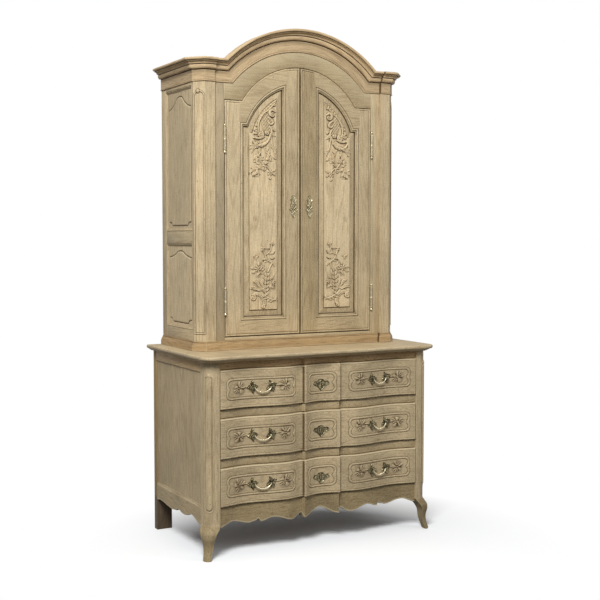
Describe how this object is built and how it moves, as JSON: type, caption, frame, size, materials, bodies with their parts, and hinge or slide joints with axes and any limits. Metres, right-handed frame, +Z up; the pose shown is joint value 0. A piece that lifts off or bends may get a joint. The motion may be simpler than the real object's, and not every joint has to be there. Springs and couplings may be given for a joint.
{
  "type": "two-part cupboard",
  "caption": "Tall oak cupboard with arched carved doors, standing on a bow-fronted chest of drawers with short curved feet.",
  "frame": {"origin": "on the floor, under the middle of the part's box", "axes": "+X to the right seen from the front, +Y to the back, +Z up"},
  "size_m": [1.25, 0.705, 2.435],
  "materials": {
    "oak": "stripped, dry, pale",
    "inner_oak": "sawn, unfinished",
    "dark_oak": "dark, unfinished",
    "brass": "dull, worn bright on the ridges"
  },
  "bodies": {
    "case": {"commode_top": "oak", "commode_back": "inner_oak", "front_top_rail": "oak", "drawer_divider_upper": "oak", "drawer_divider_lower": "oak", "bottom_board": "inner_oak", "front_apron": "oak", "upper_base": "oak", "face_frame": "oak", "cornice": "oak", "upper_roof": "inner_oak", "upper_back": "inner_oak", "shelf": "inner_oak", "front_leg_left": "oak", "rear_leg_left": "dark_oak", "commode_side_rail_left": "oak", "commode_side_panel_left": "oak", "commode_side_apron_left": "oak", "corner_post_left": "oak", "upper_side_frame_left": "oak", "upper_side_panel_upper_left": "oak", "upper_side_panel_lower_left": "oak", "hinge_fixed_upper_left": "brass", "hinge_fixed_lower_left": "brass", "front_leg_right": "oak", "rear_leg_right": "dark_oak", "commode_side_rail_right": "oak", "commode_side_panel_right": "oak", "commode_side_apron_right": "oak", "corner_post_right": "oak", "upper_side_frame_right": "oak", "upper_side_panel_upper_right": "oak", "upper_side_panel_lower_right": "oak", "hinge_fixed_upper_right": "brass", "hinge_fixed_lower_right": "brass"},
    "door_left": {"door_frame_left": "oak", "door_panel_left": "oak", "door_escutcheon_left": "brass", "hinge_door_upper_left": "brass", "hinge_door_lower_left": "brass"},
    "door_right": {"door_frame_right": "oak", "door_panel_right": "oak", "door_escutcheon_right": "brass", "hinge_door_upper_right": "brass", "hinge_door_lower_right": "brass"},
    "drawer_top": {"drawer_front_top": "oak", "drawer_box_top": "inner_oak", "drawer_escutcheon_top": "brass"},
    "pull_top_left": {"bail_top_left": "brass"},
    "pull_top_right": {"bail_top_right": "brass"},
    "drawer_middle": {"drawer_front_middle": "oak", "drawer_box_middle": "inner_oak", "drawer_escutcheon_middle": "brass"},
    "pull_middle_left": {"bail_middle_left": "brass"},
    "pull_middle_right": {"bail_middle_right": "brass"},
    "drawer_bottom": {"drawer_front_bottom": "oak", "drawer_box_bottom": "inner_oak", "drawer_escutcheon_bottom": "brass"},
    "pull_bottom_left": {"bail_bottom_left": "brass"},
    "pull_bottom_right": {"bail_bottom_right": "brass"}
  },
  "joints": [
    {"name": "door_left_hinge", "type": "hinge", "parent": "case", "child": "door_left", "pos_m": [-0.4015, -0.0898, 0.982], "axis": [0, 0, -1], "range_deg": [0, 110]},
    {"name": "door_right_hinge", "type": "hinge", "parent": "case", "child": "door_right", "pos_m": [0.4015, -0.0898, 0.982], "axis": [0, 0, 1], "range_deg": [0, 110]},
    {"name": "drawer_top_slide", "type": "slide", "parent": "case", "child": "drawer_top", "axis": [0, -1, 0], "range_m": [0, 0.4]},
    {"name": "bail_top_left_swing", "type": "hinge", "parent": "drawer_top", "child": "pull_top_left", "pos_m": [-0.3155, -0.31095, 0.769], "axis": [-0.986, 0.1665, 0], "range_deg": [0, 95]},
    {"name": "bail_top_right_swing", "type": "hinge", "parent": "drawer_top", "child": "pull_top_right", "pos_m": [0.3155, -0.31095, 0.769], "axis": [-0.986, -0.1665, 0], "range_deg": [0, 95]},
    {"name": "drawer_middle_slide", "type": "slide", "parent": "case", "child": "drawer_middle", "axis": [0, -1, 0], "range_m": [0, 0.4]},
    {"name": "bail_middle_left_swing", "type": "hinge", "parent": "drawer_middle", "child": "pull_middle_left", "pos_m": [-0.3155, -0.31095, 0.549], "axis": [-0.986, 0.1665, 0], "range_deg": [0, 95]},
    {"name": "bail_middle_right_swing", "type": "hinge", "parent": "drawer_middle", "child": "pull_middle_right", "pos_m": [0.3155, -0.31095, 0.549], "axis": [-0.986, -0.1665, 0], "range_deg": [0, 95]},
    {"name": "drawer_bottom_slide", "type": "slide", "parent": "case", "child": "drawer_bottom", "axis": [0, -1, 0], "range_m": [0, 0.4]},
    {"name": "bail_bottom_left_swing", "type": "hinge", "parent": "drawer_bottom", "child": "pull_bottom_left", "pos_m": [-0.3155, -0.31095, 0.325], "axis": [-0.986, 0.1665, 0], "range_deg": [0, 95]},
    {"name": "bail_bottom_right_swing", "type": "hinge", "parent": "drawer_bottom", "child": "pull_bottom_right", "pos_m": [0.3155, -0.31095, 0.325], "axis": [-0.986, -0.1665, 0], "range_deg": [0, 95]}
  ]
}
